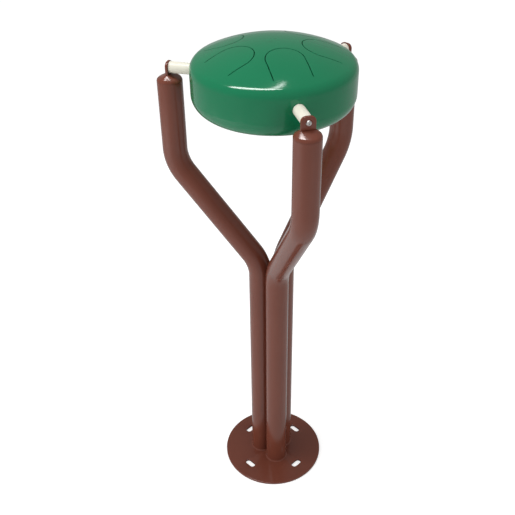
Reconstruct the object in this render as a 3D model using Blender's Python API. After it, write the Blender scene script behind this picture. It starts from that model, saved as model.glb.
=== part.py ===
"""Tongue drum carried on three bent steel posts with a round floor plate.

Metres, +Z up. The origin is the centre of the floor plate's underside. The rear post stands at +X,
the left post at 120 degrees and the front post at 240 degrees, seen from above.
"""

import math

import bmesh
import bpy
from mathutils import Matrix, Vector

# Fits
FIT = 0.0003
BOLT_CLEARANCE = 0.0005

# Floor plate
PLATE_DIAMETER = 0.230
PLATE_THICKNESS = 0.006
PLATE_CHAMFER = 0.0008
SLOT_COUNT = 4
SLOT_CIRCLE_DIAMETER = 0.157
SLOT_WIDTH = 0.013
SLOT_LENGTH = 0.026

# Posts, three bent tubes
TUBE_DIAMETER = 0.0483
TUBE_WALL = 0.003
LOWER_BEND_HEIGHT = 0.560
UPPER_BEND_HEIGHT = 0.7745
BEND_RADIUS = 0.087
POST_CIRCLE_RADIUS = 0.197
POST_TOP_HEIGHT = 0.9403
POST_ANGLES = {"rear": 0.0, "left": 120.0, "front": 240.0}

# Post caps, drawn in from the round tube to a narrow ridge under the lug
CAP_RISE = 0.0128
CAP_SHOULDER = 0.003
CAP_WALL = 0.003
RIDGE_MARGIN = 0.004
RIDGE_EDGE = 0.0008

# Hanger lugs welded on the caps
LUG_WIDTH = 0.0255
LUG_THICKNESS = 0.005
LUG_OVER_BOLT = 0.011
LUG_CORNER_RADIUS = 0.009

# Nylon standoffs between lug and drum
STANDOFF_DIAMETER = 0.021
STANDOFF_OVER_CAP = 0.0019
STANDOFF_CHAMFER = 0.0006

# Button head bolts with washer and lock nut inside the drum
BOLT_DIAMETER = 0.005
BOLT_HEAD_DIAMETER = 0.0095
BOLT_HEAD_HEIGHT = 0.00275
BOLT_SOCKET_WIDTH = 0.003
BOLT_SOCKET_DEPTH = 0.0015
BOLT_END = 0.002
WASHER_DIAMETER = 0.012
WASHER_THICKNESS = 0.001
NUT_ACROSS_FLATS = 0.008
NUT_HEIGHT = 0.0038
NUT_COLLAR_HEIGHT = 0.0012

# Drum, heights measured from the bolts
DRUM_DIAMETER = 0.2964
DRUM_WALL = 0.0025
WALL_ABOVE_BOLTS = 0.0158
BOTTOM_BELOW_BOLTS = 0.0544
KNUCKLE_RADIUS = 0.0207
CROWN_RADIUS = 0.318
BOTTOM_RADIUS = 0.0294
SOUND_PORT_DIAMETER = 0.060
DISH_RISE = 0.004

# Tongues: where each tip lies from the drum's axis, its width, and its angle from the front post
FRONT_TIP_RADIUS = 0.0366
FRONT_TONGUE_WIDTH = 0.0668
SIDE_TIP_RADIUS = 0.0482
SIDE_TONGUE_WIDTH = 0.0730
SIDE_TONGUE_ANGLE = 70.0
REAR_SIDE_TIP_RADIUS = 0.0610
REAR_SIDE_TONGUE_WIDTH = 0.0680
REAR_SIDE_TONGUE_ANGLE = 129.5
BACK_TIP_RADIUS = 0.0720
BACK_TONGUE_WIDTH = 0.0600
TONGUE_ROOT_INSET = 0.0307
CUT_WIDTH = 0.0016

# Facets
TUBE_SIDES = 24
BEND_STEPS = 5
PLATE_SIDES = 64
DRUM_SIDES = 48
SMALL_SIDES = 20
CAP_STEPS = 2
CAP_SHOULDER_STEPS = 3
CROWN_STEPS = 7
TIP_STEPS = 10

# Sizes worked out from those above
TUBE_RADIUS = TUBE_DIAMETER / 2
# Three tubes side by side, each a fit away from its neighbours
CLUSTER_RADIUS = (TUBE_DIAMETER + FIT) / math.sqrt(3)
POST_FOOT = PLATE_THICKNESS + FIT
CAP_BASE = POST_TOP_HEIGHT + FIT
BOLT_HEIGHT = CAP_BASE + CAP_RISE + STANDOFF_OVER_CAP + STANDOFF_DIAMETER / 2
DRUM_RADIUS = DRUM_DIAMETER / 2
TONGUE_ROOT_RADIUS = DRUM_RADIUS - TONGUE_ROOT_INSET
# The drum's facets face the posts squarely, so flat washers and standoffs seat on them
WALL_FACE = DRUM_RADIUS * math.cos(math.pi / DRUM_SIDES)
WALL_INSIDE = (DRUM_RADIUS - DRUM_WALL) * math.cos(math.pi / DRUM_SIDES)
DRUM_BOTTOM = BOLT_HEIGHT - BOTTOM_BELOW_BOLTS
SEAM_HEIGHT = DRUM_BOTTOM + BOTTOM_RADIUS
KNUCKLE_HEIGHT = BOLT_HEIGHT + WALL_ABOVE_BOLTS
CROWN_CENTRE = KNUCKLE_HEIGHT - math.sqrt(
    (CROWN_RADIUS - KNUCKLE_RADIUS) ** 2 - (DRUM_RADIUS - KNUCKLE_RADIUS) ** 2
)
CROWN_HEIGHT = CROWN_CENTRE + CROWN_RADIUS


def clear_scene():
    for obj in list(bpy.data.objects):
        bpy.data.objects.remove(obj, do_unlink=True)


def make_material(name, colour, roughness, metallic):
    material = bpy.data.materials.new(name)
    material.use_nodes = True
    shader = material.node_tree.nodes["Principled BSDF"]
    shader.inputs["Base Color"].default_value = (*colour, 1.0)
    shader.inputs["Roughness"].default_value = roughness
    shader.inputs["Metallic"].default_value = metallic
    return material


def make_empty(name, parent=None, angle=0.0):
    empty = bpy.data.objects.new(name, None)
    bpy.context.scene.collection.objects.link(empty)
    empty.parent = parent
    empty.rotation_euler = (0.0, 0.0, math.radians(angle))
    return empty


def make_object(name, bm, material, parent, smooth_angle=35.0):
    """Turns a finished bmesh into a named, smooth shaded object."""
    mesh = bpy.data.meshes.new(name)
    bm.to_mesh(mesh)
    bm.free()
    mesh.shade_smooth()
    mesh.set_sharp_from_angle(angle=math.radians(smooth_angle))
    obj = bpy.data.objects.new(name, mesh)
    bpy.context.scene.collection.objects.link(obj)
    obj.parent = parent
    if material:
        mesh.materials.append(material)
    return obj


def make_cutter(name, bm, parent):
    cutter = make_object(name, bm, None, parent)
    cutter.hide_render = True
    cutter.display_type = "WIRE"
    return cutter


def boolean(obj, other, operation="DIFFERENCE"):
    modifier = obj.modifiers.new(other.name, "BOOLEAN")
    modifier.operation = operation
    modifier.solver = "EXACT"
    modifier.object = other


def arc(centre, radius, start, end, steps):
    """Points on an arc in a plane, angles in degrees, both ends included."""
    points = []
    for step in range(steps + 1):
        angle = math.radians(start + (end - start) * step / steps)
        points.append((centre[0] + radius * math.cos(angle), centre[1] + radius * math.sin(angle)))
    return points


def turned(profile, sides, phase=0.0):
    """Spins a closed (radius, height) profile round Z. Phase is a share of one facet."""
    bm = bmesh.new()
    verts = [bm.verts.new((radius, 0.0, height)) for radius, height in profile]
    edges = [bm.edges.new((verts[i - 1], verts[i])) for i in range(len(verts))]
    on_axis = [e for e in edges if all(abs(v.co.x) < 1e-9 for v in e.verts)]
    for edge in on_axis:
        edges.remove(edge)
        bm.edges.remove(edge)
    turn = Matrix.Rotation(phase * 2 * math.pi / sides, 4, "Z")
    bmesh.ops.transform(bm, matrix=turn, verts=bm.verts)
    bmesh.ops.spin(
        bm,
        geom=verts + edges,
        cent=(0, 0, 0),
        axis=(0, 0, 1),
        angle=2 * math.pi,
        steps=sides,
        use_merge=True,
    )
    bmesh.ops.remove_doubles(bm, verts=bm.verts, dist=1e-6)
    bmesh.ops.recalc_face_normals(bm, faces=bm.faces)
    return bm


def laid_along_x(bm, x, height):
    """Lays a body turned round Z along +X, at a height over the origin."""
    place = Matrix.Translation((x, 0, height)) @ Matrix.Rotation(math.pi / 2, 4, "Y")
    bmesh.ops.transform(bm, matrix=place, verts=bm.verts)
    return bm


def prism(outline, low, high):
    """Extrudes a flat outline of (x, y) points from one height to another."""
    bm = bmesh.new()
    face = bm.faces.new([bm.verts.new((x, y, low)) for x, y in outline])
    made = bmesh.ops.extrude_face_region(bm, geom=[face])
    moved = [v for v in made["geom"] if isinstance(v, bmesh.types.BMVert)]
    bmesh.ops.translate(bm, vec=(0, 0, high - low), verts=moved)
    bmesh.ops.recalc_face_normals(bm, faces=bm.faces)
    return bm


def rod(radius, low, high, sides=SMALL_SIDES):
    return turned([(0, low), (radius, low), (radius, high), (0, high)], sides)


def slot_outline(width, length, steps=8):
    """A slot with round ends, long side along Y."""
    reach = (length - width) / 2
    upper = arc((0, reach), width / 2, 0, 180, steps)
    lower = arc((0, -reach), width / 2, 180, 360, steps)
    return upper + lower


def build_base_plate(root, material):
    radius = PLATE_DIAMETER / 2
    rim = radius - PLATE_CHAMFER
    profile = [
        (0, 0),
        (rim, 0),
        (radius, PLATE_CHAMFER),
        (radius, PLATE_THICKNESS - PLATE_CHAMFER),
        (rim, PLATE_THICKNESS),
        (0, PLATE_THICKNESS),
    ]
    plate = make_object("base_plate", turned(profile, PLATE_SIDES), material, root)
    for index in range(SLOT_COUNT):
        bm = prism(slot_outline(SLOT_WIDTH, SLOT_LENGTH), -PLATE_THICKNESS, 2 * PLATE_THICKNESS)
        bmesh.ops.translate(bm, vec=(SLOT_CIRCLE_DIAMETER / 2, 0, 0), verts=bm.verts)
        cutter = make_cutter(f"anchor_slot_cutter_{index + 1}", bm, root)
        cutter.rotation_euler.z = 2 * math.pi * index / SLOT_COUNT
        boolean(plate, cutter)


def build_post_tube(name, station, material):
    """A ring drawn up the post: straight, bend outwards, lean, bend back, straight."""
    lean = math.atan2(POST_CIRCLE_RADIUS - CLUSTER_RADIUS, UPPER_BEND_HEIGHT - LOWER_BEND_HEIGHT)
    tangent = BEND_RADIUS * math.tan(lean / 2)
    lean_length = math.hypot(
        POST_CIRCLE_RADIUS - CLUSTER_RADIUS, UPPER_BEND_HEIGHT - LOWER_BEND_HEIGHT
    )
    bm = bmesh.new()
    foot = [bm.verts.new(point) for point in round_points(TUBE_RADIUS, POST_FOOT, TUBE_SIDES)]
    bmesh.ops.translate(bm, vec=(CLUSTER_RADIUS, 0, 0), verts=foot)
    ring = [bm.edges.new((foot[index - 1], foot[index])) for index in range(TUBE_SIDES)]

    def draw_straight(edges, step):
        made = bmesh.ops.extrude_edge_only(bm, edges=edges)["geom"]
        verts = [item for item in made if isinstance(item, bmesh.types.BMVert)]
        bmesh.ops.translate(bm, vec=step, verts=verts)
        return [item for item in made if isinstance(item, bmesh.types.BMEdge)]

    def draw_bend(edges, centre, angle):
        verts = list({v for edge in edges for v in edge.verts})
        made = bmesh.ops.spin(
            bm, geom=verts + edges, cent=centre, axis=(0, 1, 0), angle=angle, steps=BEND_STEPS
        )
        return [item for item in made["geom_last"] if isinstance(item, bmesh.types.BMEdge)]

    first_bend = LOWER_BEND_HEIGHT - tangent
    ring = draw_straight(ring, (0, 0, first_bend - POST_FOOT))
    ring = draw_bend(ring, (CLUSTER_RADIUS + BEND_RADIUS, 0, first_bend), lean)
    run = lean_length - 2 * tangent
    ring = draw_straight(ring, (run * math.sin(lean), 0, run * math.cos(lean)))
    last_bend = UPPER_BEND_HEIGHT + tangent
    ring = draw_bend(ring, (POST_CIRCLE_RADIUS - BEND_RADIUS, 0, last_bend), -lean)
    draw_straight(ring, (0, 0, POST_TOP_HEIGHT - last_bend))
    bmesh.ops.recalc_face_normals(bm, faces=bm.faces)
    tube = make_object(f"post_tube_{name}", bm, material, station)
    wall = tube.modifiers.new("tube_wall", "SOLIDIFY")
    wall.thickness = TUBE_WALL
    wall.offset = -1.0
    wall.use_even_offset = True


def ridge_points(half_length, half_width, height, sides):
    """A slot shaped ring, long side along Y, with one point for each facet of the tube."""
    points = []
    for side in range(sides):
        angle = 2 * math.pi * (side + 0.5) / sides
        end = math.copysign(half_length - half_width, math.sin(angle))
        points.append((half_width * math.cos(angle), half_width * math.sin(angle) + end, height))
    return points


def round_points(radius, height, sides):
    angles = [2 * math.pi * (side + 0.5) / sides for side in range(sides)]
    return [(radius * math.cos(angle), radius * math.sin(angle), height) for angle in angles]


def lofted(low, high, steps):
    """Rings of points on straight lines between a low and a high ring, the high ring included."""
    rings = []
    for step in range(steps + 1):
        share = step / steps
        rings.append([Vector(a).lerp(Vector(b), share) for a, b in zip(low, high)])
    return rings


def shouldered(rim, ridge, shoulder, shoulder_steps, steps):
    """Rings that rise upright from the rim, turn over a rounded shoulder and run straight to the ridge."""
    corner = [Vector(point) + Vector((0, 0, shoulder)) for point in rim]
    start = [a.lerp(Vector(b), shoulder / (Vector(b) - a).length) for a, b in zip(corner, ridge)]
    rings = []
    for step in range(shoulder_steps):
        share = step / shoulder_steps
        rings.append(
            [
                Vector(a).lerp(b, share).lerp(b.lerp(c, share), share)
                for a, b, c in zip(rim, corner, start)
            ]
        )
    return rings + lofted(start, ridge, steps)


def skinned(rings):
    """A closed body through a chain of rings, with a face across the first and the last."""
    bm = bmesh.new()
    loops = [[bm.verts.new(point) for point in ring] for ring in rings]
    for low, high in zip(loops, loops[1:]):
        for index in range(len(low)):
            bm.faces.new((low[index - 1], low[index], high[index], high[index - 1]))
    bm.faces.new(loops[0])
    bm.faces.new(loops[-1])
    bmesh.ops.recalc_face_normals(bm, faces=bm.faces)
    return bm


def build_post_cap(name, station, material):
    """A pressed cap: a rounded shoulder on the round rim, then straight sides up to a narrow ridge."""
    half_length = LUG_WIDTH / 2 + RIDGE_MARGIN
    half_width = LUG_THICKNESS / 2 + RIDGE_EDGE
    rim = round_points(TUBE_RADIUS, 0, TUBE_SIDES)
    ridge = ridge_points(half_length, half_width, CAP_RISE, TUBE_SIDES)
    inner_rim = round_points(TUBE_RADIUS - CAP_WALL, 0, TUBE_SIDES)
    inner_ridge = ridge_points(half_length - CAP_WALL, half_width / 2, CAP_RISE - CAP_WALL, TUBE_SIDES)
    outside = shouldered(rim, ridge, CAP_SHOULDER, CAP_SHOULDER_STEPS, CAP_STEPS)
    inside = shouldered(inner_rim, inner_ridge, CAP_SHOULDER / 3, 1, CAP_STEPS)
    bm = skinned(inside[::-1] + outside)
    cap = make_object(f"post_cap_{name}", bm, material, station, smooth_angle=30.0)
    cap.location = (POST_CIRCLE_RADIUS, 0, CAP_BASE)


def build_lug(name, station, material):
    """An ear that stands across the post on the cap's ridge, with the bolt's hole."""
    half = LUG_WIDTH / 2
    foot = CAP_BASE + CAP_RISE + FIT - BOLT_HEIGHT
    shoulder = LUG_OVER_BOLT - LUG_CORNER_RADIUS
    inset = half - LUG_CORNER_RADIUS
    outline = [(-half, foot), (half, foot)]
    outline += arc((inset, shoulder), LUG_CORNER_RADIUS, 0, 90, 7)
    outline += arc((-inset, shoulder), LUG_CORNER_RADIUS, 90, 180, 7)
    bm = prism(outline, -LUG_THICKNESS / 2, LUG_THICKNESS / 2)
    # Outline (x, y) becomes (y, z) on the post, its thickness runs along X
    stand = Matrix(((0, 0, 1, 0), (1, 0, 0, 0), (0, 1, 0, 0), (0, 0, 0, 1)))
    bmesh.ops.transform(bm, matrix=stand, verts=bm.verts)
    lug = make_object(f"hanger_lug_{name}", bm, material, station)
    lug.location = (POST_CIRCLE_RADIUS, 0, BOLT_HEIGHT)
    hole = rod((BOLT_DIAMETER + BOLT_CLEARANCE) / 2, -LUG_THICKNESS, LUG_THICKNESS)
    cutter = make_cutter(f"lug_hole_cutter_{name}", laid_along_x(hole, 0, 0), station)
    cutter.location = lug.location
    boolean(lug, cutter)


def build_standoff(name, station, material):
    start = WALL_FACE + FIT
    end = POST_CIRCLE_RADIUS - LUG_THICKNESS / 2 - FIT
    bore = (BOLT_DIAMETER + BOLT_CLEARANCE) / 2
    radius = STANDOFF_DIAMETER / 2
    length = end - start
    profile = [
        (bore, 0),
        (radius - STANDOFF_CHAMFER, 0),
        (radius, STANDOFF_CHAMFER),
        (radius, length - STANDOFF_CHAMFER),
        (radius - STANDOFF_CHAMFER, length),
        (bore, length),
    ]
    bm = laid_along_x(turned(profile, SMALL_SIDES), start, BOLT_HEIGHT)
    make_object(f"standoff_{name}", bm, material, station)


def nut_face():
    """Where the lock nut's bearing face lies, measured outwards from the drum's axis."""
    return WALL_INSIDE - 2 * FIT - WASHER_THICKNESS


def build_bolt(name, station, material):
    """A button head bolt whose bearing face is at height 0 before it is laid along X."""
    bearing = POST_CIRCLE_RADIUS + LUG_THICKNESS / 2 + FIT
    shank_end = nut_face() - NUT_HEIGHT - NUT_COLLAR_HEIGHT - BOLT_END
    shank = BOLT_DIAMETER / 2
    head = BOLT_HEAD_DIAMETER / 2
    crown_flat = BOLT_SOCKET_WIDTH * 0.75
    button = [
        (crown_flat + (head - crown_flat) * math.cos(angle), BOLT_HEAD_HEIGHT * math.sin(angle))
        for angle in (math.radians(90 * step / 5) for step in range(6))
    ]
    profile = [(0, shank_end - bearing), (shank * 0.8, shank_end - bearing)]
    profile += [(shank, shank_end - bearing + shank * 0.2), (shank, 0)]
    profile += button + [(0, BOLT_HEAD_HEIGHT)]
    bolt = make_object(
        f"standoff_bolt_{name}",
        laid_along_x(turned(profile, SMALL_SIDES), bearing, BOLT_HEIGHT),
        material,
        station,
    )
    socket = rod(
        BOLT_SOCKET_WIDTH / math.sqrt(3),
        BOLT_HEAD_HEIGHT - BOLT_SOCKET_DEPTH,
        2 * BOLT_HEAD_HEIGHT,
        sides=6,
    )
    socket_cutter = make_cutter(
        f"bolt_socket_cutter_{name}", laid_along_x(socket, bearing, BOLT_HEIGHT), station
    )
    boolean(bolt, socket_cutter)


def build_washer(name, station, material):
    bore = (BOLT_DIAMETER + BOLT_CLEARANCE) / 2
    radius = WASHER_DIAMETER / 2
    profile = [(bore, 0), (radius, 0), (radius, WASHER_THICKNESS), (bore, WASHER_THICKNESS)]
    start = WALL_INSIDE - FIT - WASHER_THICKNESS
    bm = laid_along_x(turned(profile, SMALL_SIDES), start, BOLT_HEIGHT)
    make_object(f"bolt_washer_{name}", bm, material, station)


def build_lock_nut(name, station, material):
    """A hexagon with a round collar for the locking insert, facing the drum's middle."""
    bore = BOLT_DIAMETER / 2 + FIT
    corner = NUT_ACROSS_FLATS / math.sqrt(3)
    collar = NUT_ACROSS_FLATS / 2 * 0.9
    hexagon = laid_along_x(rod(corner, -NUT_HEIGHT, 0, sides=6), nut_face(), BOLT_HEIGHT)
    nut = make_object(f"lock_nut_{name}", hexagon, material, station, smooth_angle=30.0)
    ring = rod(collar, -NUT_HEIGHT - NUT_COLLAR_HEIGHT, -NUT_HEIGHT / 2)
    ring = laid_along_x(ring, nut_face(), BOLT_HEIGHT)
    boolean(nut, make_cutter(f"nut_collar_{name}", ring, station), "UNION")
    hole = rod(bore, -2 * NUT_HEIGHT, NUT_HEIGHT)
    hole = laid_along_x(hole, nut_face(), BOLT_HEIGHT)
    boolean(nut, make_cutter(f"nut_bore_{name}", hole, station))


def head_line(radius, knuckle, crown, steps):
    """The head's section from the top of the wall, round the knuckle, to the crown on the axis."""
    lean = math.degrees(math.atan2(KNUCKLE_HEIGHT - CROWN_CENTRE, radius - knuckle))
    line = arc((radius - knuckle, KNUCKLE_HEIGHT), knuckle, 0, lean, 4)
    line += arc((0, CROWN_CENTRE), crown, lean, 90, steps)[1:]
    line[-1] = (0, CROWN_CENTRE + crown)
    return line


def tongue_cutter(angle, tip, width):
    """A U shaped band, round at the tip, that cuts one tongue free on three sides."""
    half = width / 2
    middle = tip + half
    line = [(TONGUE_ROOT_RADIUS, -half)]
    line += [
        (middle - half * math.cos(turn), half * math.sin(turn))
        for turn in (math.radians(-90 + 180 * step / TIP_STEPS) for step in range(TIP_STEPS + 1))
    ]
    line += [(TONGUE_ROOT_RADIUS, half)]

    def offset(distance):
        points = []
        for x, y in line:
            if x >= middle:
                points.append((x, y + distance * math.copysign(1, y)))
            else:
                away = Vector((x - middle, y)).normalized() * distance
                points.append((x + away.x, y + away.y))
        return points

    outline = offset(CUT_WIDTH / 2) + offset(-CUT_WIDTH / 2)[::-1]
    bm = prism(outline, KNUCKLE_HEIGHT - KNUCKLE_RADIUS, CROWN_HEIGHT + DRUM_WALL)
    turn = Matrix.Rotation(math.radians(POST_ANGLES["front"] + angle), 4, "Z")
    bmesh.ops.transform(bm, matrix=turn, verts=bm.verts)
    return bm


def tongue_table():
    """Every tongue as (name, angle, tip radius, width), the side ones on both sides of the drum."""
    tongues = [
        ("front", 0.0, FRONT_TIP_RADIUS, FRONT_TONGUE_WIDTH),
        ("back", 180.0, BACK_TIP_RADIUS, BACK_TONGUE_WIDTH),
    ]
    pairs = [
        ("side", SIDE_TONGUE_ANGLE, SIDE_TIP_RADIUS, SIDE_TONGUE_WIDTH),
        ("rear_side", REAR_SIDE_TONGUE_ANGLE, REAR_SIDE_TIP_RADIUS, REAR_SIDE_TONGUE_WIDTH),
    ]
    for name, angle, tip, width in pairs:
        tongues.append((f"{name}_right", angle, tip, width))
        tongues.append((f"{name}_left", -angle, tip, width))
    return tongues


def build_drum_head(root, stations, material):
    """The domed head with its wall: one pressed shell, cut through by the tongues and bolt holes."""
    inside = DRUM_RADIUS - DRUM_WALL
    outer = head_line(DRUM_RADIUS, KNUCKLE_RADIUS, CROWN_RADIUS, CROWN_STEPS)
    inner = head_line(inside, KNUCKLE_RADIUS - DRUM_WALL, CROWN_RADIUS - DRUM_WALL, CROWN_STEPS)
    rim = SEAM_HEIGHT + FIT / 2
    profile = [(inside, rim), (DRUM_RADIUS, rim)] + outer + inner[::-1]
    bm = turned(profile, DRUM_SIDES, phase=0.5)
    head = make_object("drum_head", bm, material, root)
    for name, angle, tip, width in tongue_table():
        boolean(head, make_cutter(f"tongue_cutter_{name}", tongue_cutter(angle, tip, width), root))
    for name, station in stations.items():
        hole = rod((BOLT_DIAMETER + BOLT_CLEARANCE) / 2, -3 * DRUM_WALL, 3 * DRUM_WALL)
        hole = laid_along_x(hole, WALL_FACE, BOLT_HEIGHT)
        boolean(head, make_cutter(f"wall_hole_cutter_{name}", hole, station))


def build_drum_bowl(root, material):
    """The lower shell: a rounded corner and a shallow dish with the sound port in its middle."""
    corner = DRUM_RADIUS - BOTTOM_RADIUS
    inner_corner = BOTTOM_RADIUS - DRUM_WALL
    port = SOUND_PORT_DIAMETER / 2
    rim = SEAM_HEIGHT - FIT / 2
    outer = [(DRUM_RADIUS, rim)] + arc((corner, SEAM_HEIGHT), BOTTOM_RADIUS, -15, -90, 5)
    inner = arc((corner, SEAM_HEIGHT), inner_corner, -90, -15, 5) + [(corner + inner_corner, rim)]
    lip = DRUM_BOTTOM + DISH_RISE
    profile = outer + [(port, lip), (port, lip + DRUM_WALL)] + inner
    make_object("drum_bowl", turned(profile, DRUM_SIDES, phase=0.5), material, root)


def main():
    clear_scene()
    brown = make_material("brown_powder_coat", (0.182, 0.050, 0.029), 0.20, 0.0)
    green = make_material("green_powder_coat", (0.005, 0.182, 0.077), 0.15, 0.0)
    nylon = make_material("cream_nylon", (0.760, 0.720, 0.600), 0.45, 0.0)
    steel = make_material("stainless_steel", (0.620, 0.600, 0.580), 0.30, 1.0)
    root = make_empty("tongue_drum")
    stations = {
        name: make_empty(f"post_station_{name}", root, angle) for name, angle in POST_ANGLES.items()
    }
    build_base_plate(root, brown)
    for name, station in stations.items():
        build_post_tube(name, station, brown)
        build_post_cap(name, station, brown)
        build_lug(name, station, brown)
        build_standoff(name, station, nylon)
        build_bolt(name, station, steel)
        build_washer(name, station, steel)
        build_lock_nut(name, station, steel)
    build_drum_head(root, stations, green)
    build_drum_bowl(root, green)


main()
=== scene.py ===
import math

import bmesh
import bpy
from mathutils import Matrix, Vector


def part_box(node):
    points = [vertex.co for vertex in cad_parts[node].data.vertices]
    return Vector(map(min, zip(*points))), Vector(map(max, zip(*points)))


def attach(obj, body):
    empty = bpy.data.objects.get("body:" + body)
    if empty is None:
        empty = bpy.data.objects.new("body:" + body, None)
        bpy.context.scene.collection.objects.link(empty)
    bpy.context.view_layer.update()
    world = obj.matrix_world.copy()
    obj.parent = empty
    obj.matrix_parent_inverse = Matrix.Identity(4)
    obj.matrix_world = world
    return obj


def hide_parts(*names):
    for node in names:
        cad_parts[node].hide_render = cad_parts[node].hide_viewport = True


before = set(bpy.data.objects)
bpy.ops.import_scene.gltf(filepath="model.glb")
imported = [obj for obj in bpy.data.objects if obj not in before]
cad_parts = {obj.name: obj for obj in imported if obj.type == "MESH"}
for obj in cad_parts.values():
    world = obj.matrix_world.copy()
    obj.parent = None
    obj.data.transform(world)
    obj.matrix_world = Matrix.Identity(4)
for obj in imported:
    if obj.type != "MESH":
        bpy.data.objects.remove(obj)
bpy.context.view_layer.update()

# Posts stand at these angles round the drum's axis, seen from above
POSTS = {"rear": 0.0, "left": 120.0, "front": 240.0}

# Places and sizes taken from the frame, on the rear post
plate_low, plate_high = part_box("base_plate")
tube_low, tube_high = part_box("post_tube_rear")
cap_low, cap_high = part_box("post_cap_rear")
lug_low, lug_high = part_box("hanger_lug_rear")
standoff_low, standoff_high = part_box("standoff_rear")
bolt_low, bolt_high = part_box("standoff_bolt_rear")
washer_low, washer_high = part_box("bolt_washer_rear")
nut_low, nut_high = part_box("lock_nut_rear")
head_low, head_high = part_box("drum_head")
bowl_low, bowl_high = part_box("drum_bowl")

PLATE_RADIUS = plate_high.x
PLATE_TOP = plate_high.z
TUBE_RADIUS = tube_high.y
POST_REACH = tube_high.x - TUBE_RADIUS
FOOT_REACH = tube_low.x + TUBE_RADIUS
BOLT_HEIGHT = (standoff_low.z + standoff_high.z) / 2
STANDOFF_RADIUS = (standoff_high.z - standoff_low.z) / 2
DRUM_RADIUS = -head_low.x

# Floor plate
PLATE_EDGE = 0.0012
SLOT_COUNT = 4
SLOT_REACH = 0.0785
SLOT_WIDTH = 0.013
SLOT_LENGTH = 0.026
SLOT_EDGE = 0.0005

# Welds at the posts' feet: the fillet's leg, and how far it laps into tube and plate
WELD_LEG = 0.0022
WELD_LAP = 0.0004

# Posts
TUBE_WALL = 0.003
LOWER_BEND_HEIGHT = 0.560
UPPER_BEND_HEIGHT = 0.7745
BEND_RADIUS = 0.087

# Caps, lugs and fasteners
CAP_SHOULDER = 0.004
CAP_WALL = 0.003
RIDGE_MARGIN = 0.0012
RIDGE_EDGE = 0.0008
RIDGE_ROUND = 0.0007
RIDGE_STRAIGHT = 0.0105
RIM_ROUND = 0.97 * CAP_SHOULDER
LUG_CORNER_RADIUS = 0.009
LUG_EDGE = 0.0009
BOLT_RADIUS = 0.0025
BOLT_HOLE_RADIUS = 0.00275
BOLT_TIP_RADIUS = 0.8 * BOLT_RADIUS
BOLT_TIP_LENGTH = 0.0005
STANDOFF_EDGE = 0.0006
HEAD_RADIUS = 0.00475
HEAD_RISE = 0.00275
SOCKET_WIDTH = 0.003
SOCKET_DEPTH = 0.0021
PIN_RADIUS = 0.0005
PIN_BELOW_HEAD = 0.0007
WASHER_EDGE = 0.0002
NUT_COLLAR = 0.0012
COLLAR_RADIUS = 0.0036
COLLAR_EDGE = 0.0004

# How far a form that is added laps into its piece, and how far a cutting tool reaches past it
OVERLAP = 0.001
OVERREACH = 0.01

# Drum
DRUM_WALL = 0.0025
KNUCKLE_HEIGHT = BOLT_HEIGHT + 0.0158
KNUCKLE_RADIUS = 0.0207
CROWN_RADIUS = 0.318
BOTTOM_RADIUS = 0.0294
PORT_RADIUS = 0.030
DISH_RISE = 0.004
SEAM_GAP = 0.00005
CUT_WIDTH = 0.0016
TONGUE_ROOT = 0.1175

# Angle from the front post in degrees, reach of the tip from the drum's axis, and width
TONGUES = (
    (0.0, 0.0366, 0.0668),
    (70.0, 0.0482, 0.0730),
    (-70.0, 0.0482, 0.0730),
    (129.5, 0.0610, 0.0680),
    (-129.5, 0.0610, 0.0680),
    (180.0, 0.0720, 0.0600),
)

# Points closer than this are one point, or at one height
SAME = 1e-6

# Steps in a full turn of each round form, and in each bend of a post. The spacers have a tube's
PLATE_STEPS = 160
TUBE_STEPS = 72
WELD_STEPS = 96
BOLT_STEPS = 48
HOLE_STEPS = 32
DRUM_STEPS = 192
BEND_STEPS = 16

# Camera, fitted to the photo: heading and dip in degrees, roll in radians, lens in millimetres
CAMERA_PLACE = (-0.90114, -0.87681, 1.46098)
CAMERA_HEADING = -44.296
CAMERA_DIP = 35.095
CAMERA_ROLL = -0.013
CAMERA_LENS = 52.27

# Name, shape, place, size, lean and turn in degrees, watts, and whether only gloss sees it
LIGHTS = (
    ("soft_box", "RECTANGLE", (-0.32, 0.26, 2.2), (1.2, 0.45), 0, 143, 12.5, False),
    ("side_box", "RECTANGLE", (-1.9, 0.7, 0.8), (1.6, 1.6), 88, -110, 17, False),
    ("fill_box", "RECTANGLE", (-0.2, -2.3, 1.0), (0.8, 0.8), 86, -5, 6, False),
    ("gleam_left", "ELLIPSE", (-0.60, 0.41, 3.0), (1.86, 0.50), 0, 141, 47, True),
    ("gleam_right", "ELLIPSE", (0.12, 0.20, 3.0), (1.10, 0.13), 0, 13, 5, True),
)

# How bright the world is to matt and to glossy surfaces, and how far the floor is lifted to white
WORLD_DIFFUSE = 0.53
WORLD_GLOSSY = 0.30
FLOOR_LIFT = 0.58


def deselect():
    if bpy.context.mode != "OBJECT":
        bpy.ops.object.mode_set(mode="OBJECT")
    bpy.ops.object.select_all(action="DESELECT")


def take_up(piece):
    """Make one piece the selected and active one, in object mode."""
    deselect()
    piece.select_set(True)
    bpy.context.view_layer.objects.active = piece


def settle(name):
    """Name the primitive just added, put its place into its mesh and open it in edit mode."""
    piece = bpy.context.object
    piece.name = name
    piece.data.name = name
    bpy.ops.object.transform_apply(location=True, rotation=True, scale=True)
    bpy.ops.object.mode_set(mode="EDIT")
    bpy.ops.mesh.select_mode(type="VERT")
    bpy.ops.mesh.select_all(action="SELECT")
    return piece


def choose(piece, kind, wanted):
    """Select the vertices or edges for which wanted is true, in edit mode."""
    bpy.ops.mesh.select_mode(type=kind)
    bpy.ops.mesh.select_all(action="DESELECT")
    shape = bmesh.from_edit_mesh(piece.data)
    for part in {"VERT": shape.verts, "EDGE": shape.edges}[kind]:
        if wanted(part):
            part.select_set(True)
    if kind == "VERT":
        shape.select_flush(True)
    bmesh.update_edit_mesh(piece.data)


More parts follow.
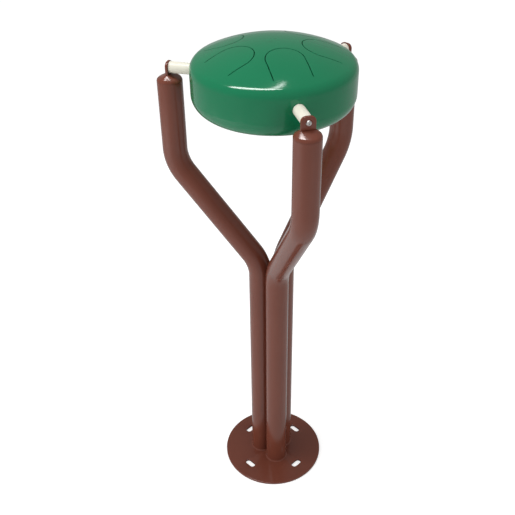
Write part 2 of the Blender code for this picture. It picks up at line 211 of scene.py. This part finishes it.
def middle(edge):
    return (edge.verts[0].co + edge.verts[1].co) / 2


def point_at(name, place):
    """A mesh of one vertex, ready to be drawn out."""
    deselect()
    bpy.ops.mesh.primitive_plane_add(size=0.002, location=place)
    piece = settle(name)
    bpy.ops.mesh.merge(type="CENTER")
    return piece


def ring_at(name, place, radius, sides, filled=False):
    """A level circle, ready to be drawn up."""
    deselect()
    bpy.ops.mesh.primitive_circle_add(
        vertices=sides, radius=radius, location=place, fill_type="NGON" if filled else "NOTHING"
    )
    return settle(name)


def draw_by(step):
    bpy.ops.mesh.extrude_region_move(TRANSFORM_OT_translate={"value": step})


def draw_along(points):
    for start, end in zip(points, points[1:]):
        draw_by(Vector(end) - Vector(start))


def move_by(step):
    bpy.ops.transform.translate(value=step)


def pull_apart(piece, reach):
    """Turn a circle into a slot shape, long side along Y, by moving its halves apart."""
    ring = [vert for vert in bmesh.from_edit_mesh(piece.data).verts if vert.select]
    height = ring[0].co.z
    choose(piece, "VERT", lambda vert: vert.co.y > SAME and abs(vert.co.z - height) < SAME)
    move_by((0, reach, 0))
    choose(piece, "VERT", lambda vert: vert.co.y < -SAME and abs(vert.co.z - height) < SAME)
    move_by((0, -reach, 0))
    choose(piece, "VERT", lambda vert: abs(vert.co.z - height) < SAME)


def close_up():
    """Merge doubles, turn all faces outwards and leave edit mode."""
    bpy.ops.mesh.select_all(action="SELECT")
    bpy.ops.mesh.remove_doubles(threshold=SAME)
    bpy.ops.mesh.dissolve_degenerate(threshold=1e-7)
    bpy.ops.mesh.select_all(action="SELECT")
    bpy.ops.mesh.normals_make_consistent(inside=False)
    bpy.ops.object.mode_set(mode="OBJECT")


def arc(centre, radius, start, end, steps):
    """Points on an arc, angles in degrees, both ends included."""
    turns = [math.radians(start + (end - start) * step / steps) for step in range(steps + 1)]
    across, up = centre
    return [(across + radius * math.cos(turn), up + radius * math.sin(turn)) for turn in turns]


def turned_upright(name, outline, steps, axis_x=0.0):
    """Spin an outline of (radius, height) pairs round an upright axis."""
    points = [(axis_x + radius, 0, height) for radius, height in outline]
    piece = point_at(name, points[0])
    draw_along(points)
    bpy.ops.mesh.select_all(action="SELECT")
    bpy.ops.mesh.spin(steps=steps, angle=2 * math.pi, center=(axis_x, 0, 0), axis=(0, 0, 1))
    close_up()
    return piece


def turned_on_bolt(name, outline, steps):
    """Spin an outline of (reach, radius) pairs round the rear bolt's axis."""
    points = [(reach, 0, BOLT_HEIGHT + radius) for reach, radius in outline]
    piece = point_at(name, points[0])
    draw_along(points)
    bpy.ops.mesh.select_all(action="SELECT")
    bpy.ops.mesh.spin(steps=steps, angle=2 * math.pi, center=(0, 0, BOLT_HEIGHT), axis=(1, 0, 0))
    close_up()
    return piece


def drill(name, start, end):
    """A rod along the rear bolt's axis that cuts the hole for the bolt."""
    ends = [(start, 0), (start, BOLT_HOLE_RADIUS), (end, BOLT_HOLE_RADIUS), (end, 0)]
    return turned_on_bolt(name, ends, HOLE_STEPS)


def finish_modifier(piece, kind, **settings):
    """Give a piece a modifier and apply it at once."""
    modifier = piece.modifiers.new(kind.lower(), kind)
    for name, value in settings.items():
        setattr(modifier, name, value)
    take_up(piece)
    bpy.ops.object.modifier_apply(modifier=modifier.name)


def cut(piece, tool):
    finish_modifier(piece, "BOOLEAN", operation="DIFFERENCE", solver="EXACT", object=tool)
    bpy.data.objects.remove(tool)


def weld_on(piece, other):
    finish_modifier(piece, "BOOLEAN", operation="UNION", solver="EXACT", object=other)
    bpy.data.objects.remove(other)


def smooth(piece, angle=35.0):
    take_up(piece)
    bpy.ops.object.shade_smooth_by_angle(angle=math.radians(angle))


def finish_piece(piece, node, material):
    """Give a finished piece its material and let it stand for its node, if it has one."""
    piece.data.materials.clear()
    piece.data.materials.append(material)
    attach(piece, "root")
    if node:
        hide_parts(node)


def put_on_posts(piece, what, stands_for, material):
    """The piece made on the rear post, and a copy turned to each of the others."""
    for post, angle in POSTS.items():
        made = piece
        if angle:
            made = piece.copy()
            made.data = piece.data.copy()
            bpy.context.scene.collection.objects.link(made)
            made.data.transform(Matrix.Rotation(math.radians(angle), 4, "Z"))
        made.name = f"{what}_{post}"
        made.data.name = made.name
        finish_piece(made, f"{stands_for}_{post}" if stands_for else None, material)


def new_material(name):
    material = bpy.data.materials.new(name)
    material.use_nodes = True
    nodes = material.node_tree.nodes
    return material, nodes, material.node_tree.links, nodes["Principled BSDF"]


def add_node(nodes, kind, **inputs):
    node = nodes.new(kind)
    for name, value in inputs.items():
        node.inputs[name].default_value = value
    return node


def powder_coat(name, dark, light, roughness, peel_scale, peel_depth):
    """Powder coat: a fine peel in the surface, and colour and gloss that drift a little."""
    material, nodes, links, shader = new_material(name)
    place = nodes.new("ShaderNodeTexCoord")
    drift = add_node(nodes, "ShaderNodeTexNoise", Scale=9.0, Detail=3.0)
    links.new(place.outputs["Object"], drift.inputs["Vector"])
    colour = nodes.new("ShaderNodeMix")
    colour.data_type = "RGBA"
    colour.inputs["A"].default_value = (*dark, 1.0)
    colour.inputs["B"].default_value = (*light, 1.0)
    links.new(drift.outputs["Fac"], colour.inputs["Factor"])
    links.new(colour.outputs["Result"], shader.inputs["Base Color"])
    gloss = nodes.new("ShaderNodeMapRange")
    gloss.inputs["To Min"].default_value = roughness * 0.85
    gloss.inputs["To Max"].default_value = roughness * 1.15
    links.new(drift.outputs["Fac"], gloss.inputs["Value"])
    links.new(gloss.outputs["Result"], shader.inputs["Roughness"])
    peel = add_node(nodes, "ShaderNodeTexNoise", Scale=peel_scale, Detail=2.0)
    links.new(place.outputs["Object"], peel.inputs["Vector"])
    bump = add_node(nodes, "ShaderNodeBump", Strength=0.3, Distance=peel_depth)
    links.new(peel.outputs["Fac"], bump.inputs["Height"])
    links.new(bump.outputs["Normal"], shader.inputs["Normal"])
    return material


def turned_nylon():
    """Natural nylon: a cloudy cream whose surface is a little uneven."""
    material, nodes, links, shader = new_material("turned_cream_nylon")
    place = nodes.new("ShaderNodeTexCoord")
    cloud = add_node(nodes, "ShaderNodeTexNoise", Scale=60.0, Detail=3.0)
    links.new(place.outputs["Object"], cloud.inputs["Vector"])
    colour = nodes.new("ShaderNodeMix")
    colour.data_type = "RGBA"
    colour.inputs["A"].default_value = (0.74, 0.70, 0.585, 1.0)
    colour.inputs["B"].default_value = (0.83, 0.80, 0.69, 1.0)
    links.new(cloud.outputs["Fac"], colour.inputs["Factor"])
    links.new(colour.outputs["Result"], shader.inputs["Base Color"])
    shader.inputs["Roughness"].default_value = 0.42
    bump = add_node(nodes, "ShaderNodeBump", Strength=0.2, Distance=0.0002)
    links.new(cloud.outputs["Fac"], bump.inputs["Height"])
    links.new(bump.outputs["Normal"], shader.inputs["Normal"])
    return material


def bright_stainless():
    """Stainless steel, bright, with gloss that varies where tools have rubbed it."""
    material, nodes, links, shader = new_material("bright_stainless")
    place = nodes.new("ShaderNodeTexCoord")
    rub = add_node(nodes, "ShaderNodeTexNoise", Scale=400.0, Detail=2.0)
    links.new(place.outputs["Object"], rub.inputs["Vector"])
    gloss = nodes.new("ShaderNodeMapRange")
    gloss.inputs["To Min"].default_value = 0.32
    gloss.inputs["To Max"].default_value = 0.46
    links.new(rub.outputs["Fac"], gloss.inputs["Value"])
    links.new(gloss.outputs["Result"], shader.inputs["Roughness"])
    shader.inputs["Base Color"].default_value = (0.80, 0.79, 0.77, 1.0)
    shader.inputs["Metallic"].default_value = 1.0
    return material


brown = powder_coat(
    "brown_post_coat",
    dark=(0.150, 0.041, 0.024),
    light=(0.184, 0.052, 0.031),
    roughness=0.19,
    peel_scale=900.0,
    peel_depth=0.00004,
)
green = powder_coat(
    "green_drum_coat",
    dark=(0.004, 0.172, 0.072),
    light=(0.006, 0.192, 0.082),
    roughness=0.12,
    peel_scale=500.0,
    peel_depth=0.00002,
)
nylon = turned_nylon()
stainless = bright_stainless()


def make_base_plate():
    """A turned disc with a rounded rim and four slots on one circle."""
    rim = PLATE_RADIUS - PLATE_EDGE
    outline = [(0, 0)] + arc((rim, PLATE_EDGE), PLATE_EDGE, -90, 0, 4)
    outline += arc((rim, PLATE_TOP - PLATE_EDGE), PLATE_EDGE, 0, 90, 4) + [(0, PLATE_TOP)]
    plate = turned_upright("floor_plate", outline, PLATE_STEPS)
    for turn in range(SLOT_COUNT):
        tool = ring_at("slot_tool", (0, 0, -PLATE_TOP), SLOT_WIDTH / 2, 40, filled=True)
        pull_apart(tool, (SLOT_LENGTH - SLOT_WIDTH) / 2)
        draw_by((0, 0, 3 * PLATE_TOP))
        close_up()
        tool.data.transform(Matrix.Translation((SLOT_REACH, 0, 0)))
        tool.data.transform(Matrix.Rotation(2 * math.pi * turn / SLOT_COUNT, 4, "Z"))
        cut(plate, tool)
    take_up(plate)
    bpy.ops.object.mode_set(mode="EDIT")
    near_slot = SLOT_REACH + SLOT_LENGTH
    choose(
        plate,
        "EDGE",
        lambda edge: len(edge.link_faces) == 2
        and edge.calc_face_angle(0) > math.radians(80)
        and middle(edge).to_2d().length < near_slot,
    )
    bpy.ops.mesh.bevel(offset=SLOT_EDGE, segments=2, affect="EDGES")
    close_up()
    smooth(plate)
    finish_piece(plate, "base_plate", brown)


def make_posts():
    """A ring drawn up the post: straight, bend outwards, lean, bend back, straight."""
    rise = UPPER_BEND_HEIGHT - LOWER_BEND_HEIGHT
    run = POST_REACH - FOOT_REACH
    lean = math.atan2(run, rise)
    tangent = BEND_RADIUS * math.tan(lean / 2)
    length = math.hypot(run, rise) - 2 * tangent
    first_bend = LOWER_BEND_HEIGHT - tangent
    last_bend = UPPER_BEND_HEIGHT + tangent
    tube = ring_at("post_tube", (FOOT_REACH, 0, tube_low.z), TUBE_RADIUS, TUBE_STEPS)
    draw_by((0, 0, first_bend - tube_low.z))
    lower_centre = (FOOT_REACH + BEND_RADIUS, 0, first_bend)
    bpy.ops.mesh.spin(steps=BEND_STEPS, angle=-lean, center=lower_centre, axis=(0, 1, 0))
    draw_by((length * math.sin(lean), 0, length * math.cos(lean)))
    upper_centre = (POST_REACH - BEND_RADIUS, 0, last_bend)
    bpy.ops.mesh.spin(steps=BEND_STEPS, angle=lean, center=upper_centre, axis=(0, 1, 0))
    draw_by((0, 0, tube_high.z - last_bend))
    close_up()
    finish_modifier(tube, "SOLIDIFY", thickness=TUBE_WALL, offset=-1.0, use_even_offset=True)
    smooth(tube)
    put_on_posts(tube, "bent_post", "post_tube", brown)


def make_foot_welds():
    """A flat fillet of weld, under the coat, where each tube meets the floor plate."""
    inner = TUBE_RADIUS - WELD_LAP
    outline = [(inner, PLATE_TOP - WELD_LAP), (inner, PLATE_TOP + WELD_LEG + WELD_LAP)]
    outline += [(TUBE_RADIUS, PLATE_TOP + WELD_LEG), (TUBE_RADIUS + WELD_LEG, PLATE_TOP)]
    outline += [(TUBE_RADIUS + WELD_LEG, PLATE_TOP - WELD_LAP)]
    weld = turned_upright("foot_weld", outline + outline[:1], WELD_STEPS, axis_x=FOOT_REACH)
    smooth(weld)
    put_on_posts(weld, "foot_weld", None, brown)


def make_caps():
    """A pressed cap: a rounded shoulder on the tube, then straight sides up to a narrow ridge."""
    half_width = (lug_high.x - lug_low.x) / 2 + RIDGE_EDGE
    half_length = lug_high.y + RIDGE_MARGIN
    shoulder = cap_low.z + CAP_SHOULDER
    cap = ring_at("post_cap", (0, 0, cap_low.z), TUBE_RADIUS, TUBE_STEPS)
    draw_by((0, 0, CAP_SHOULDER))
    draw_by((0, 0, cap_high.z - shoulder))
    bpy.ops.transform.resize(value=(half_width / TUBE_RADIUS, 1, 1), center_override=(0, 0, 0))
    squeeze = (half_length - RIDGE_STRAIGHT) / (TUBE_RADIUS - RIDGE_STRAIGHT)
    above = shoulder + SAME
    for side in (1, -1):
        choose(cap, "VERT", lambda vert: vert.co.z > above and vert.co.y * side > RIDGE_STRAIGHT)
        bpy.ops.transform.resize(value=(1, squeeze, 1), center_override=(0, side * RIDGE_STRAIGHT, 0))
    choose(cap, "VERT", lambda vert: vert.co.z > above)
    bpy.ops.mesh.edge_face_add()
    for height, reach, segments in ((cap_high.z, RIDGE_ROUND, 3), (shoulder, RIM_ROUND, 8)):
        choose(cap, "EDGE", lambda edge: all(abs(vert.co.z - height) < SAME for vert in edge.verts))
        bpy.ops.mesh.bevel(offset=reach, segments=segments, affect="EDGES")
    close_up()
    finish_modifier(cap, "SOLIDIFY", thickness=CAP_WALL, offset=-1.0, use_even_offset=False)
    cap.data.transform(Matrix.Translation((POST_REACH, 0, 0)))
    smooth(cap)
    put_on_posts(cap, "pressed_cap", "post_cap", brown)


def make_lugs():
    """A flat ear with round top corners and the bolt's hole."""
    deselect()
    centre = ((lug_low.x + lug_high.x) / 2, 0, (lug_low.z + lug_high.z) / 2)
    bpy.ops.mesh.primitive_plane_add(size=1, location=centre, rotation=(0, math.pi / 2, 0))
    bpy.context.object.scale = (lug_high.z - lug_low.z, lug_high.y - lug_low.y, 1)
    lug = settle("hanger_lug")
    choose(lug, "VERT", lambda vert: vert.co.z > centre[2])
    bpy.ops.mesh.bevel(offset=LUG_CORNER_RADIUS, segments=12, affect="VERTICES")
    bpy.ops.mesh.select_all(action="SELECT")
    move_by((lug_low.x - centre[0], 0, 0))
    draw_by((lug_high.x - lug_low.x, 0, 0))
    close_up()
    bpy.ops.object.mode_set(mode="EDIT")
    choose(lug, "EDGE", lambda edge: edge.calc_face_angle(0) > math.radians(60))
    bpy.ops.mesh.bevel(offset=LUG_EDGE, segments=3, affect="EDGES")
    close_up()
    cut(lug, drill("hole_tool", lug_low.x - OVERREACH, lug_high.x + OVERREACH))
    smooth(lug)
    put_on_posts(lug, "hanger_ear", "hanger_lug", brown)


def make_standoffs():
    """A turned nylon spacer with eased edges and a bore for the bolt."""
    inner = STANDOFF_RADIUS - STANDOFF_EDGE
    outline = [(standoff_low.x, BOLT_HOLE_RADIUS)]
    outline += arc((standoff_low.x + STANDOFF_EDGE, inner), STANDOFF_EDGE, 180, 90, 4)
    outline += arc((standoff_high.x - STANDOFF_EDGE, inner), STANDOFF_EDGE, 90, 0, 4)
    outline += [(standoff_high.x, BOLT_HOLE_RADIUS)]
    spacer = turned_on_bolt("standoff", outline + outline[:1], TUBE_STEPS)
    smooth(spacer)
    put_on_posts(spacer, "nylon_spacer", "standoff", nylon)


def make_bolts():
    """A button head bolt with a hexagon socket that holds a small pin."""
    bearing = bolt_high.x - HEAD_RISE
    flat = SOCKET_WIDTH * 0.75
    button = [
        (bearing + HEAD_RISE * math.sin(turn), flat + (HEAD_RADIUS - flat) * math.cos(turn))
        for turn in (math.radians(9 * step) for step in range(11))
    ]
    outline = [(bolt_low.x, 0), (bolt_low.x, BOLT_TIP_RADIUS)]
    outline += [(bolt_low.x + BOLT_TIP_LENGTH, BOLT_RADIUS)]
    outline += [(bearing, BOLT_RADIUS)] + button + [(bolt_high.x, 0)]
    bolt = turned_on_bolt("bolt", outline, BOLT_STEPS)
    socket_bottom = bolt_high.x - SOCKET_DEPTH
    corner = SOCKET_WIDTH / math.sqrt(3)
    above = bolt_high.x + OVERREACH
    socket = [(socket_bottom, 0), (socket_bottom, corner), (above, corner), (above, 0)]
    cut(bolt, turned_on_bolt("socket_tool", socket, 6))
    pin_foot = socket_bottom - OVERLAP
    pin_top = bolt_high.x - PIN_BELOW_HEAD
    pin = [(pin_foot, 0), (pin_foot, PIN_RADIUS), (pin_top, PIN_RADIUS), (pin_top, 0)]
    weld_on(bolt, turned_on_bolt("socket_pin", pin, 16))
    smooth(bolt)
    put_on_posts(bolt, "button_bolt", "standoff_bolt", stainless)


def make_washers():
    """A flat washer with its corners eased."""
    radius = washer_high.z - BOLT_HEIGHT
    eased = radius - WASHER_EDGE
    outline = [(washer_low.x, BOLT_HOLE_RADIUS), (washer_low.x, eased)]
    outline += [(washer_low.x + WASHER_EDGE, radius), (washer_high.x - WASHER_EDGE, radius)]
    outline += [(washer_high.x, eased), (washer_high.x, BOLT_HOLE_RADIUS)]
    washer = turned_on_bolt("washer", outline + outline[:1], BOLT_STEPS)
    smooth(washer)
    put_on_posts(washer, "flat_washer", "bolt_washer", stainless)


def make_lock_nuts():
    """A hexagon with a round collar for the locking insert."""
    corner = max(nut_high.z - BOLT_HEIGHT, nut_high.y)
    collar_start = nut_low.x + NUT_COLLAR
    outline = [(nut_high.x, 0), (nut_high.x, corner), (collar_start, corner), (collar_start, 0)]
    nut = turned_on_bolt("nut", outline, 6)
    collar = [(nut_low.x, 0), (nut_low.x, COLLAR_RADIUS - COLLAR_EDGE)]
    collar += [(nut_low.x + COLLAR_EDGE, COLLAR_RADIUS)]
    collar += [(collar_start + OVERLAP, COLLAR_RADIUS), (collar_start + OVERLAP, 0)]
    weld_on(nut, turned_on_bolt("collar", collar, 40))
    cut(nut, drill("bore_tool", nut_low.x - OVERREACH, nut_high.x + OVERREACH))
    smooth(nut, 30)
    put_on_posts(nut, "locking_nut", "lock_nut", stainless)


def head_line(radius, knuckle, crown):
    """The head's section from the top of the wall, round the knuckle, to the crown on the axis."""
    flat = math.sqrt((CROWN_RADIUS - KNUCKLE_RADIUS) ** 2 - (DRUM_RADIUS - KNUCKLE_RADIUS) ** 2)
    centre = KNUCKLE_HEIGHT - flat
    lean = math.degrees(math.atan2(flat, radius - knuckle))
    line = arc((radius - knuckle, KNUCKLE_HEIGHT), knuckle, 0, lean, 14)
    line += arc((0, centre), crown, lean, 90, 30)[1:-1]
    return line + [(0, centre + crown)]


def tongue_tool(angle, tip, width):
    """A U shaped blade, as wide as the cut, that frees one tongue on three sides."""
    half = width / 2
    middle_reach = tip + half
    turn = Matrix.Rotation(math.radians(POSTS["front"] + angle), 4, "Z")
    line = [(TONGUE_ROOT, -half)]
    line += arc((middle_reach, 0), half, 270, 90, 36)
    line += [(TONGUE_ROOT, half)]
    low = KNUCKLE_HEIGHT - KNUCKLE_RADIUS
    points = [turn @ Vector((x, y, low)) for x, y in line]
    tool = point_at("tongue_tool", points[0])
    draw_along(points)
    bpy.ops.mesh.select_all(action="SELECT")
    draw_by((0, 0, head_high.z + OVERREACH - low))
    bpy.ops.object.mode_set(mode="OBJECT")
    finish_modifier(tool, "SOLIDIFY", thickness=CUT_WIDTH, offset=0.0, use_even_offset=True)
    return tool


def make_drum_head():
    """One pressed shell: a straight wall, a round knuckle and a shallow crown, cut by the tongues."""
    inside = DRUM_RADIUS - DRUM_WALL
    seam = (head_low.z + bowl_high.z) / 2 + SEAM_GAP / 2
    outer = head_line(DRUM_RADIUS, KNUCKLE_RADIUS, CROWN_RADIUS)
    inner = head_line(inside, KNUCKLE_RADIUS - DRUM_WALL, CROWN_RADIUS - DRUM_WALL)
    outline = outer[::-1] + [(DRUM_RADIUS, seam), (inside, seam)] + inner
    head = turned_upright("drum_shell_head", outline, DRUM_STEPS)
    for angle, tip, width in TONGUES:
        cut(head, tongue_tool(angle, tip, width))
    for angle in POSTS.values():
        tool = drill("wall_hole_tool", inside - OVERREACH, DRUM_RADIUS + OVERREACH)
        tool.data.transform(Matrix.Rotation(math.radians(angle), 4, "Z"))
        cut(head, tool)
    smooth(head, 40)
    finish_piece(head, "drum_head", green)


def make_drum_bowl():
    """The lower shell: a rounded corner and a shallow dish with a rounded sound port."""
    corner = DRUM_RADIUS - BOTTOM_RADIUS
    centre = bowl_low.z + BOTTOM_RADIUS
    seam = (head_low.z + bowl_high.z) / 2 - SEAM_GAP / 2
    half_wall = DRUM_WALL / 2
    lip = bowl_low.z + DISH_RISE
    outline = [(DRUM_RADIUS, seam)] + arc((corner, centre), BOTTOM_RADIUS, -2, -90, 18)
    outline += arc((PORT_RADIUS + half_wall, lip + half_wall), half_wall, 270, 90, 8)
    outline += arc((corner, centre), BOTTOM_RADIUS - DRUM_WALL, -90, -2, 18)
    outline += [(DRUM_RADIUS - DRUM_WALL, seam)]
    bowl = turned_upright("drum_shell_bowl", outline + outline[:1], DRUM_STEPS)
    smooth(bowl, 40)
    finish_piece(bowl, "drum_bowl", green)


make_base_plate()
make_posts()
make_foot_welds()
make_caps()
make_lugs()
make_standoffs()
make_bolts()
make_washers()
make_lock_nuts()
make_drum_head()
make_drum_bowl()


def white_floor():
    """A wide pale floor that keeps the drum's shadow and is white where the camera sees it."""
    deselect()
    bpy.ops.mesh.primitive_plane_add(size=60.0, location=(0, 0, -0.0005))
    floor = bpy.context.object
    floor.name = "studio_floor"
    material, nodes, links, shader = new_material("studio_floor_white")
    shader.inputs["Base Color"].default_value = (0.82, 0.82, 0.82, 1.0)
    shader.inputs["Roughness"].default_value = 0.9
    shader.inputs["Specular IOR Level"].default_value = 0.0
    shader.inputs["Emission Color"].default_value = (1.0, 1.0, 1.0, 1.0)
    path = nodes.new("ShaderNodeLightPath")
    lift = nodes.new("ShaderNodeMath")
    lift.operation = "MULTIPLY"
    lift.inputs[1].default_value = FLOOR_LIFT
    links.new(path.outputs["Is Camera Ray"], lift.inputs[0])
    links.new(lift.outputs[0], shader.inputs["Emission Strength"])
    floor.data.materials.append(material)


def studio_light(name, shape, place, size, lean, turn, watts, for_gloss):
    """A lamp for the even light or for the gleam. It faces straight down when its lean is 0."""
    light = bpy.data.lights.new(name, "AREA")
    light.shape = shape
    light.size, light.size_y = size
    light.energy = watts
    lamp = bpy.data.objects.new(name, light)
    bpy.context.scene.collection.objects.link(lamp)
    lamp.location = place
    lamp.rotation_euler = (math.radians(lean), 0, math.radians(turn))
    lamp.visible_diffuse = not for_gloss
    lamp.visible_glossy = for_gloss


def studio_world(diffuse_level, glossy_level):
    """White to the camera, and an even soft light all round the drum."""
    world = bpy.data.worlds.new("studio_world")
    world.use_nodes = True
    nodes = world.node_tree.nodes
    links = world.node_tree.links
    path = nodes.new("ShaderNodeLightPath")
    background = nodes["Background"]
    background.inputs["Color"].default_value = (1.0, 1.0, 1.0, 1.0)
    seen = nodes.new("ShaderNodeMath")
    seen.operation = "MULTIPLY_ADD"
    seen.inputs[1].default_value = glossy_level - diffuse_level
    seen.inputs[2].default_value = diffuse_level
    links.new(path.outputs["Is Glossy Ray"], seen.inputs[0])
    strength = nodes.new("ShaderNodeMix")
    strength.data_type = "FLOAT"
    links.new(path.outputs["Is Camera Ray"], strength.inputs[0])
    links.new(seen.outputs[0], strength.inputs[2])
    strength.inputs[3].default_value = 1.0
    links.new(strength.outputs[0], background.inputs["Strength"])
    bpy.context.scene.world = world


white_floor()
for settings in LIGHTS:
    studio_light(*settings)
studio_world(WORLD_DIFFUSE, WORLD_GLOSSY)

camera = bpy.data.cameras.new("photo_camera")
camera.sensor_width = 36.0
camera.lens = CAMERA_LENS
viewer = bpy.data.objects.new("photo_camera", camera)
bpy.context.scene.collection.objects.link(viewer)
viewer.matrix_world = (
    Matrix.Translation(CAMERA_PLACE)
    @ Matrix.Rotation(math.radians(CAMERA_HEADING), 4, "Z")
    @ Matrix.Rotation(math.radians(90.0 - CAMERA_DIP), 4, "X")
    @ Matrix.Rotation(CAMERA_ROLL, 4, "Z")
)
bpy.context.scene.camera = viewer
bpy.context.scene.view_settings.view_transform = "Standard"
